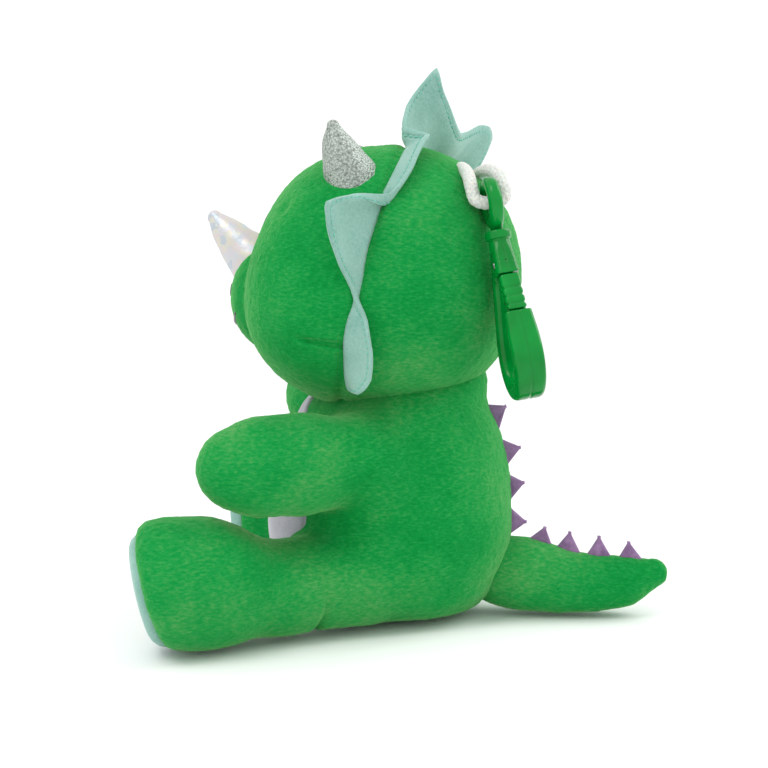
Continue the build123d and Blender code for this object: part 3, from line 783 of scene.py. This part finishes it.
def tube(name, path, radius, material, spokes=12, relief=None):
    """A round-ended tube along a path. relief(ring, spoke angle) adds to the radius."""
    path = np.asarray(path, float)
    tangents, sides, others = frames_along(path)
    angles = np.arange(spokes) * 2 * math.pi / spokes
    rings = []
    steps = np.concatenate([[0], np.cumsum(np.linalg.norm(np.diff(path, axis=0), axis=1))])
    for end, sign in ((0, -1), (-1, 1)):
        cap = []
        for lean in (0.98, 0.85, 0.55):
            centre = path[end] + sign * tangents[end] * radius * lean
            cap.append((centre, radius * math.sqrt(1 - lean ** 2), end))
        rings.append(cap if end == 0 else cap[::-1])
    body = [(path[i], radius, i) for i in range(len(path))]
    points = []
    for centre, size, i in rings[0] + body + rings[1]:
        reach = np.full(spokes, size)
        if relief is not None:
            reach = reach + relief(steps[i], angles) * size / radius
        around = np.cos(angles)[:, None] * sides[i] + np.sin(angles)[:, None] * others[i]
        points.append(centre + reach[:, None] * around)
    return new_piece(name, np.concatenate(points), ring_faces(len(points), spokes), material)


def ring_faces(rings, spokes):
    """The faces of a tube of rings, closed at both ends."""
    faces = []
    for ring in range(rings - 1):
        a = ring * spokes
        for spoke in range(spokes):
            after = (spoke + 1) % spokes
            faces.append([a + spoke, a + after, a + spokes + after, a + spokes + spoke])
    faces.append(list(range(spokes))[::-1])
    faces.append(list(range((rings - 1) * spokes, rings * spokes)))
    return faces


# --- horns ----------------------------------------------------------------------------------------
def make_horn(name, spine, material, node, crumple):
    """A sewn cone with a rounded tip along a curved spine of (centre, radius), its base tucked under."""
    centres = np.array([centre for centre, _ in spine], float)
    radii = np.array([radius for _, radius in spine], float)
    knots = np.concatenate([[0], np.cumsum(np.linalg.norm(np.diff(centres, axis=0), axis=1))])
    rings, spokes = 46, 64
    reach = knots[-1] * np.linspace(0, 1, rings) ** 0.9
    path = smooth_curve(reach, knots, centres)
    size = smooth_curve(reach, knots, radii)
    tip = radii[-1]
    tangents, sides, others = frames_along(path)
    for turn in np.linspace(0.25, 1, 6) * math.pi / 2:
        path = np.vstack([path, path[rings - 1] + tangents[-1] * tip * math.sin(turn)])
        size = np.append(size, max(tip * math.cos(turn), 0.02))
        sides = np.vstack([sides, sides[-1]])
        others = np.vstack([others, others[-1]])
    angles = np.arange(spokes) * 2 * math.pi / spokes
    around = np.cos(angles)[:, None, None] * sides[None] + np.sin(angles)[:, None, None] * others[None]
    points = (path[None] + around * size[None, :, None]).transpose(1, 0, 2).reshape(-1, 3)
    outward = around.transpose(1, 0, 2).reshape(-1, 3)
    wrinkles = 0.6 * soft_noise(points, 3.4, 23) + 0.4 * soft_noise(points, 1.5, 29)
    fade = np.repeat(np.minimum(size / radii[0], 1), spokes)
    points = points + outward * (crumple * wrinkles * fade)[:, None]
    piece = new_piece(name, points, ring_faces(len(path), spokes), material)
    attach(piece, "head")
    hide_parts(node)


def make_horns(glitter, foil):
    for side, sign in SIDES.items():
        spine = [((sign * 17.6, -10.8, 86.3), 6.1), ((sign * 18.5, -11.0, 88.6), 6.1),
                 ((sign * 20.9, -12.5, 93.3), 4.4), ((sign * 22.9, -13.9, 97.6), 2.6),
                 ((sign * 23.9, -14.2, 99.7), 1.3)]
        make_horn(f"brow_horn_{side}_cloth", spine, glitter, f"brow_horn_{side}", 0.28)
    spine = [((0, -31.5, 72.2), 5.7), ((0, -34.0, 74.6), 5.6), ((0, -37.8, 78.4), 4.2),
             ((0, -40.8, 81.7), 2.8), ((0, -42.4, 83.6), 1.6)]
    make_horn("nose_horn_cloth", spine, foil, "nose_horn", 0.35)


# --- spikes ---------------------------------------------------------------------------------------
FELT = 1.3
# Each spike: its middle along the seam, how far it stands out, and how far its tip leans along the seam.
BACK_SPIKES = [(41.0, 2.3, 3.2), (34.0, 3.2, 1.4), (26.7, 3.0, 1.3), (19.8, 3.2, -0.3)]
TAIL_SPIKES = [(26.4, 3.2, 1.2), (32.5, 3.7, 0.3), (38.9, 3.9, 0.0), (45.6, 3.4, -0.6)]


def seam_place(field, start, outward, reach=30):
    """Where a line from inside a form comes out of it."""
    start, outward = np.array(start, float), np.array(outward, float)
    reaches = np.linspace(0, reach, reach * 10 + 1)
    outside = field(start + reaches[:, None] * outward) > 0
    return start + reaches[np.argmax(outside)] * outward


def felt_spike(corners, bend, tip_width=0.7):
    """A felt triangle in the toy's middle plane: two base corners and a tip, cut edges slightly rounded."""
    first, second, tip = (np.asarray(corner, float) for corner in corners)
    rows, columns = 16, 14
    way = unit(second - first)
    grid = []
    for row in range(rows + 1):
        up = row / rows
        left, right = first + (tip - first) * up, second + (tip - second) * up
        width = max(np.linalg.norm(right - left), tip_width)
        for column in range(columns + 1):
            grid.append((left + right) / 2 + way * (column / columns - 0.5) * width)
    grid = np.array(grid)
    normal = unit(np.cross(second - first, tip - first))
    height = np.clip(dot(grid - first, unit(tip - (first + second) / 2)), 0, None)
    grid = grid + normal * (bend * height ** 2 / 12 + 0.12 * soft_noise(grid, 2.0, 31))[:, None]
    across = np.tile(np.abs(np.linspace(-1, 1, columns + 1)), rows + 1)
    up = np.repeat(np.linspace(0, 1, rows + 1), columns + 1)
    edge = np.maximum(across, up) ** 8
    fuzz = 1 + 0.12 * soft_noise(grid, 0.7, 37)
    half = (FELT / 2 * (1 - 0.55 * edge) * fuzz)[:, None]
    return np.concatenate([grid + normal * half, grid - normal * half]), slab_faces(rows, columns)


def slab_faces(rows, columns):
    """The faces of two grids, one above the other, closed round their rim."""
    width = columns + 1
    count = (rows + 1) * width
    faces = []
    for row in range(rows):
        for column in range(columns):
            a = row * width + column
            quad = [a, a + 1, a + 1 + width, a + width]
            faces.append(quad)
            faces.append([count + corner for corner in quad[::-1]])
    rim = (list(range(columns)) + [row * width + columns for row in range(rows)]
           + [rows * width + column for column in range(columns, 0, -1)]
           + [row * width for row in range(rows, 0, -1)])
    for here, after in zip(rim, rim[1:] + rim[:1]):
        faces.append([after, here, count + here, count + after])
    return faces


def make_spikes(felt):
    back, tail = [], []
    for height, stand, rise in BACK_SPIKES:
        low, high = (seam_place(torso_field, (0, 0, height + step), (0, 1, 0)) for step in (-3.4, 3.4))
        tip = (low + high) / 2 + [0, stand, rise]
        back.append(felt_spike([low - [0, 1, 0], high - [0, 1, 0], tip], rng.uniform(-0.4, 0.4)))
    for y, stand, rise in TAIL_SPIKES:
        rear, front = (seam_place(tail_field, (0, y + step, 6), (0, 0, 1)) for step in (3.0, -3.0))
        tip = (rear + front) / 2 + [0, rise, stand]
        tail.append(felt_spike([rear - [0, 0, 1], front - [0, 0, 1], tip], rng.uniform(-0.4, 0.4)))
    for name, parts, body, node in (("back_spikes_felt", back, "torso", "back_spikes"),
                                    ("tail_spikes_felt", tail, "tail", "tail_spikes")):
        points, faces = joined(parts)
        piece = new_piece(name, points, faces, felt)
        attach(piece, body)
        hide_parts(node)


def joined(parts):
    """Several (points, faces) as one."""
    points, faces, total = [], [], 0
    for part_points, part_faces in parts:
        points.append(part_points)
        faces += [[corner + total for corner in face] for face in part_faces]
        total += len(part_points)
    return np.concatenate(points), faces


# --- frill: one two-layer strip sewn in round the head, its free edge cut into points --------------
# Each station: how far round the head from its top (degrees, + to the left), the seam's y there, the place on
# the free edge, and how far the cloth between them billows (back +).
FRILL_STATIONS = [
    (136, -11.4, (20.5, -11.4, 48.6), 0.0),
    (127, -11.5, (32.6, -8.6, 48.7), 0.5),
    (120, -11.4, (34.4, -6.3, 51.4), 1.0),
    (112, -11.2, (34.8, -5.8, 57.0), 1.2),
    (105, -10.4, (34.0, -6.8, 62.6), 0.8),
    (98, -9.0, (32.4, -8.9, 67.0), 0.0),
    (92, -8.3, (34.2, -10.1, 69.9), -0.4),
    (86, -7.9, (36.6, -11.5, 72.9), -0.9),
    (79, -7.2, (38.5, -12.8, 77.0), -1.3),
    (72, -6.2, (39.6, -13.5, 81.2), -1.2),
    (66.5, -5.4, (39.9, -13.4, 84.4), -0.6),
    (62.5, -4.9, (33.6, -9.2, 86.2), 1.0),
    (58.5, -4.4, (28.4, -3.6, 86.4), 1.4),
    (54, -3.6, (27.2, -1.2, 88.0), 0.4),
    (47, -2.6, (24.4, 0.9, 91.6), 0.2),
    (38, -1.7, (20.0, 2.3, 95.2), 0.2),
    (28, -1.2, (14.4, 3.2, 98.4), 0.0),
    (22, -1.0, (10.6, 3.5, 99.6), 0.0),
    (18, -0.9, (9.2, 0.4, 100.6), -0.3),
    (14, -0.6, (8.0, -1.6, 101.6), -0.6),
    (8, 0.0, (4.8, -0.9, 106.6), -0.8),
    (3.5, 0.6, (1.8, 1.6, 110.8), -1.0),
    (0, 1.0, (0.0, 4.7, 114.3), -1.0),
    (-5, 1.6, (-1.8, 5.9, 110.0), -0.6),
    (-10, 2.2, (-4.8, 7.4, 106.0), 0.0),
    (-17, 2.6, (-8.8, 9.2, 101.9), 0.6),
    (-26, 2.6, (-14.0, 10.7, 102.8), 1.0),
    (-33, 2.2, (-19.4, 13.0, 104.6), 1.2),
    (-38, 1.6, (-23.4, 15.2, 104.8), 1.4),
    (-43, 0.8, (-25.6, 15.8, 102.2), 1.4),
    (-49, 0.0, (-26.6, 13.6, 97.2), 1.2),
    (-56, -1.2, (-27.8, 9.0, 92.4), 0.8),
    (-63, -2.6, (-29.4, 3.4, 87.8), 0.4),
    (-71, -4.2, (-31.8, -0.8, 82.6), 0.2),
    (-80, -6.0, (-33.2, -4.8, 76.0), 0.0),
    (-90, -7.8, (-33.2, -7.0, 70.0), 0.4),
    (-104, -10.0, (-34.8, -7.2, 62.0), 1.0),
    (-116, -11.2, (-35.8, -6.8, 53.0), 0.8),
    (-125, -11.4, (-32.0, -8.4, 49.4), 0.4),
    (-136, -11.4, (-20.5, -11.4, 48.6), 0.0),
]
FRILL_LAYERS = 1.1          # thickness of the two layers together
HEM_SET_BACK = 1.5          # hem stitches, from the free edge
STITCH_PITCH = 1.25
STITCH_SHARE = 0.68         # of the pitch that is thread


def frill_seam(angle, y):
    """The place on the head's surface that far round it, 0.4 mm inside so that the cloth leaves no gap."""
    outward = np.array([math.sin(math.radians(angle)), 0, math.cos(math.radians(angle))])
    return seam_place(head_field, (0, y, HEAD_CENTRE[2]), outward, reach=40) - outward * 0.4


def frill_grid(columns_per_station=9, rows=18):
    """Points across the strip: one row of the array for each place along it, from seam to free edge."""
    seam = np.array([frill_seam(angle, y) for angle, y, _, _ in FRILL_STATIONS])
    free = np.array([edge for _, _, edge, _ in FRILL_STATIONS], float)
    billow = np.array([swell for _, _, _, swell in FRILL_STATIONS], float)
    knots = np.arange(len(seam))
    at = np.linspace(0, len(seam) - 1, (len(seam) - 1) * columns_per_station + 1)
    # The seam runs smoothly; the cut edge keeps its corners, a little rounded by turning the cloth.
    seam_line = smooth_curve(at, knots, seam)
    corner = 0.35
    nearest = np.rint(at)
    straight = np.stack([np.interp(at, knots, free[:, k]) for k in range(3)], 1)
    flowing = smooth_curve(at, knots, free)
    keep = np.clip(1 - np.abs(at - nearest) / corner, 0, 1)[:, None]
    edge_line = straight * (0.35 + 0.3 * keep) + flowing * (0.65 - 0.3 * keep)
    swell = smooth_curve(at, knots, billow)
    across = np.linspace(0, 1, rows + 1)
    share = across[None, :, None]
    grid = seam_line[:, None] * (1 - share) + edge_line[:, None] * share
    along = np.gradient(grid, axis=0)
    over = np.gradient(grid, axis=1)
    normal = np.cross(along, over)
    normal /= np.maximum(np.linalg.norm(normal, axis=2), 1e-9)[..., None]
    bulge = np.sin(math.pi * across)[None, :] * swell[:, None]
    ripple = 0.35 * soft_noise(grid, 5.0, 41) * across[None, :]
    return grid + normal * (bulge + ripple)[..., None], normal


def make_frill(tricot, stitch):
    grid, normal = frill_grid()
    count, width = grid.shape[:2]
    reach = np.linalg.norm(grid[:, -1] - grid[:, 0], axis=1)[:, None]
    across = np.linspace(0, 1, width)[None, :]
    from_edge = (1 - across) * reach
    plump = np.clip(from_edge / 0.7, 0, 1) ** 0.5
    pinch = 1 - 0.45 * np.exp(-((from_edge - HEM_SET_BACK) / 0.45) ** 2) * (reach > 3.0)
    half = (FRILL_LAYERS / 2 * np.maximum(plump, 0.12) * pinch)[..., None]
    points = np.concatenate([(grid + normal * half).reshape(-1, 3), (grid - normal * half).reshape(-1, 3)])
    piece = new_piece("frill_cloth", points, slab_faces(count - 1, width - 1), tricot)
    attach(piece, "head")
    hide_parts("frill")
    stitches = hem_stitches(grid, normal, reach, stitch)


def hem_stitches(grid, normal, reach, material):
    """Short raised stitches on both faces of the frill, set back from its free edge."""
    width = grid.shape[1]
    share = np.clip(1 - HEM_SET_BACK / reach[:, 0], 0.05, 1) * (width - 1)
    low = np.floor(share).astype(int).clip(0, width - 2)
    part = (share - low)[:, None]
    index = np.arange(len(grid))
    line = grid[index, low] * (1 - part) + grid[index, low + 1] * part
    normals = normal[index, low]
    steps = np.concatenate([[0], np.cumsum(np.linalg.norm(np.diff(line, axis=0), axis=1))])
    parts = []
    for start in np.arange(1.0, steps[-1] - 1.0, STITCH_PITCH):
        ends = [np.array([np.interp(at, steps, line[:, k]) for k in range(3)])
                for at in (start, start + STITCH_PITCH * STITCH_SHARE)]
        facing = unit([np.interp(start, steps, normals[:, k]) for k in range(3)])
        for side in (1, -1):
            lift = facing * side * (FRILL_LAYERS / 2 * 0.58)
            parts.append(stitch_bead(ends[0] + lift, ends[1] + lift, facing * side))
    points, faces = joined(parts)
    piece = new_piece("frill_stitches", points, faces, material)
    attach(piece, "head")
    return piece


def stitch_bead(start, end, facing, width=0.30, height=0.26, rings=5, spokes=8):
    """One stitch: a low bead of thread between two points."""
    along = end - start
    across = np.cross(facing, unit(along))
    points = []
    for ring in range(rings + 1):
        turn = math.pi * (0.04 + 0.92 * ring / rings)
        middle = (start + end) / 2 - along / 2 * math.cos(turn) * 1.1
        for spoke in range(spokes):
            angle = 2 * math.pi * spoke / spokes
            reach = across * math.cos(angle) * width + facing * math.sin(angle) * height
            points.append(middle + reach * math.sin(turn))
    return np.array(points), [face[::-1] for face in ring_faces(rings + 1, spokes)]


# --- cord loop ------------------------------------------------------------------------------------
LOOP_ROUTE = [
    (4.4, 8.2, 90.2), (8.0, 9.4, 93.0), (12.4, 10.6, 92.4), (16.8, 11.6, 90.8), (20.7, 12.2, 88.4),
    (22.5, 13.1, 84.8), (21.5, 19.0, 85.4), (21.1, 18.3, 89.0), (18.2, 17.4, 90.9), (14.2, 16.1, 92.0),
    (10.0, 14.4, 92.3), (6.2, 12.6, 91.2), (2.8, 10.4, 88.6),
]
CORD_RADIUS = 1.3


def cord_line(route):
    """Points along the smooth line that a cord follows, in mm."""
    curve = bpy.data.curves.new("loop_line", "CURVE")
    curve.dimensions = "3D"
    curve.resolution_u = 24
    spline = curve.splines.new("NURBS")
    spline.points.add(len(route) - 1)
    for point, place in zip(spline.points, route):
        point.co = (*(np.array(place) * MM), 1)
    spline.order_u = 3
    spline.use_endpoint_u = True
    holder = bpy.data.objects.new("loop_line", curve)
    bpy.context.collection.objects.link(holder)
    mesh = bpy.data.meshes.new_from_object(holder)
    line = np.array([vertex.co for vertex in mesh.vertices]) / MM
    bpy.data.objects.remove(holder)
    bpy.data.meshes.remove(mesh)
    bpy.data.curves.remove(curve)
    return line


def make_cord(cord):
    """A braided tube: two sets of strands that cross, over and under, round the cord."""
    line = cord_line(LOOP_ROUTE)
    steps = np.concatenate([[0], np.cumsum(np.linalg.norm(np.diff(line, axis=0), axis=1))])
    places = np.arange(0, steps[-1], 0.16)
    path = np.stack([np.interp(places, steps, line[:, k]) for k in range(3)], 1)

    def braid(along, angles):
        turn = 2 * math.pi * along / 5.2
        one = np.cos(5 * (angles + turn))
        other = np.cos(5 * (angles - turn))
        return 0.10 * np.maximum(one, other) - 0.08

    piece = tube("loop_cord", path, CORD_RADIUS, cord, spokes=40, relief=braid)
    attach(piece, "head")
    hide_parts("hang_loop")


# --- clip -----------------------------------------------------------------------------------------
CLIP_BAR = np.array([21.5, 15.5, 88.6])
CLIP_UP = unit((-6.0, -8.5, 43.4))
CLIP_YAW = math.radians(12)
LEVEL = unit(np.array([1.0, 0, 0]) - CLIP_UP * CLIP_UP[0])
CLIP_ACROSS = LEVEL * math.cos(CLIP_YAW) + np.cross(CLIP_UP, LEVEL) * math.sin(CLIP_YAW)
CLIP_THROUGH = np.cross(CLIP_ACROSS, CLIP_UP)
CLIP_ORIGIN = CLIP_BAR - CLIP_UP * 11.3
RING_RADIUS, RING_WIRE = 3.7, 1.45
GATE_PIVOT = (0.75, -4.7)
GATE_OUTLINE = [(0.7, -7.35), (2.6, -6.85), (3.75, -6.9), (5.7, -13.95), (4.3, -13.95), (4.75, -16.3),
                (3.3, -16.3), (1.25, -9.2)]
GATE_GAP = 0.25
GATE_SWING = 25


def clip_place(points):
    """Clip coordinates (across, up, through) moved to where the clip hangs."""
    return CLIP_ORIGIN + points @ np.stack([CLIP_ACROSS, CLIP_UP, CLIP_THROUGH])


def two_circles(x, y, first, second):
    """The outline pulled tight round two circles (across, up, radius)."""
    a, b = np.array(first[:2]), np.array(second[:2])
    length = np.linalg.norm(b - a)
    along = (b - a) / length
    px, py = x - a[0], y - a[1]
    reach = px * along[0] + py * along[1]
    aside = np.abs(px * along[1] - py * along[0])
    lean = (first[2] - second[2]) / length
    steep = math.sqrt(1 - lean * lean)
    side = aside * steep + reach * lean - first[2]
    start = np.hypot(aside, reach) - first[2]
    end = np.hypot(aside, reach - length) - second[2]
    before = reach * steep - aside * lean
    return np.where(before < 0, start, np.where(before > length * steep, end, side))


def polygon(x, y, corners):
    """The signed distance from a polygon."""
    corners = np.asarray(corners, float)
    nearest = np.full(np.shape(x), np.inf)
    inside = np.zeros(np.shape(x), bool)
    for (ax, ay), (bx, by) in zip(corners, np.roll(corners, -1, axis=0)):
        ex, ey = bx - ax, by - ay
        t = np.clip(((x - ax) * ex + (y - ay) * ey) / (ex * ex + ey * ey), 0, 1)
        nearest = np.minimum(nearest, np.hypot(x - ax - t * ex, y - ay - t * ey))
        crosses = ((ay > y) != (by > y)) & (x < ex * (y - ay) / (ey if ey else 1e-9) + ax)
        inside ^= crosses
    return np.where(inside, -nearest, nearest)


def opened(x, y, degrees):
    """Where a point of the clip is on the gate, when the gate has opened inwards."""
    turn = math.radians(degrees)
    px, py = x - GATE_PIVOT[0], y - GATE_PIVOT[1]
    return (GATE_PIVOT[0] + px * math.cos(turn) - py * math.sin(turn),
            GATE_PIVOT[1] + px * math.sin(turn) + py * math.cos(turn))


def slab(flat, z, half, edge):
    """An outline with thickness, its edges rounded."""
    return cut(flat, np.abs(z) - half, edge)


def hook_field(points):
    x, y, z = points[..., 0], points[..., 1], points[..., 2]
    outer = two_circles(x, y, (0, -2.6, 2.6), (0, -22.8, 7.95))
    hole = two_circles(x, y, (-0.2, -9.0, 1.4), (0, -22.8, 4.7))
    half = 1.75 + 1.2 * np.clip((1 - y) / 20, 0, 1)
    body = slab(cut(outer, -hole, 0.9), z, half, 1.3)
    # The two halves of the mould meet in a fine line.
    body = body + groove(z, 0.22, 0.16)
    neck = slab(np.hypot(x, z) - 1.9, y - 0.15, 2.05, 0.6)
    flange = slab(np.hypot(x, z) - 2.5, y - 1.2, 0.85, 0.5)
    body = join(join(body, neck, 0.8), flange, 0.3)
    swings = np.linspace(0, GATE_SWING, 6)
    gate = np.min([polygon(*opened(x, y, swing), GATE_OUTLINE) for swing in swings], axis=0)
    body = cut(body, GATE_GAP - gate, 0.3)
    pocket = np.maximum(np.hypot(x - GATE_PIVOT[0], y - GATE_PIVOT[1]) - 2.15, np.abs(z) - 1.25)
    body = cut(body, -pocket, 0.2)
    stem_well = np.maximum(np.hypot(x, z) - 1.0, np.abs(y - 1.5) - 3.2)
    return cut(body, -stem_well, 0.2)


def gate_field(points):
    x, y, z = points[..., 0], points[..., 1], points[..., 2]
    arm = slab(polygon(x, y, GATE_OUTLINE) + 0.05, z, 1.9, 0.7)
    for height in (-9.6, -11.2, -12.8):
        arm = arm + groove(y - height, 0.28, 0.22) * (x > 2.5)
    barrel = np.hypot(x - GATE_PIVOT[0], y - GATE_PIVOT[1]) - 1.9
    web = polygon(x, y, [(-0.4, -6.0), (2.3, -5.6), (2.9, -8.0), (1.0, -8.2)])
    return join(arm, slab(np.minimum(barrel, web), z, 1.0, 0.3), 0.5)


def ring_field(points):
    x, y, z = points[..., 0], points[..., 1] - (11.3 - RING_RADIUS), points[..., 2]
    wire_x, wire_z = np.hypot(x, y) - RING_RADIUS, z
    ring = slab(np.abs(wire_x) - RING_WIRE + 0.05, wire_z, RING_WIRE - 0.05, 1.5)
    stem = np.maximum(np.hypot(x, z) - 0.95, np.abs(points[..., 1] - 1.9) - 2.2)
    return join(ring, stem, 0.8)


def make_clip(plastic):
    for name, field, low, high, body, node in (
            ("hook_shell", hook_field, (-9, -33, -3.6), (9, 3.2, 3.6), "clip_hook", "hook_body"),
            ("gate_arm", gate_field, (-2, -17.2, -2.8), (6.6, -2, 2.8), "clip_gate", "gate_lever"),
            ("swivel_ring", ring_field, (-5.8, -1, -2), (5.8, 13.4, 2), "clip_eye", "swivel_eye")):
        points, quads, _ = skin(field, low, high, CLIP_CELL)
        points = clip_place(points)
        piece = new_piece(name, points, quads, plastic, mesh_normals(points, quads))
        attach(piece, body)
        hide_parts(node)


# --- assembly ---------------------------------------------------------------------------------------
BODY_CELL = 0.42
FINE_CELL = 0.34
CLIP_CELL = 0.2


def main():
    add_camera()
    make_cord(cord_material())
    add_studio()
    plush, tricot, felt, plastic = plush_material(), tricot_material(), felt_material(), plastic_material()
    thread, white = thread_material(), white_thread_material()
    make_body(plush)
    make_foot_pads(tricot)
    make_belly(satin_material())
    make_tail(plush)
    make_head(plush)
    make_face(thread, white)
    make_horns(glitter_material(), foil_material())
    make_spikes(felt)
    make_frill(tricot, seam_thread_material())
    make_clip(plastic)
    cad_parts["gate_pin"].data.materials.clear()
    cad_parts["gate_pin"].data.materials.append(steel_material())


main()
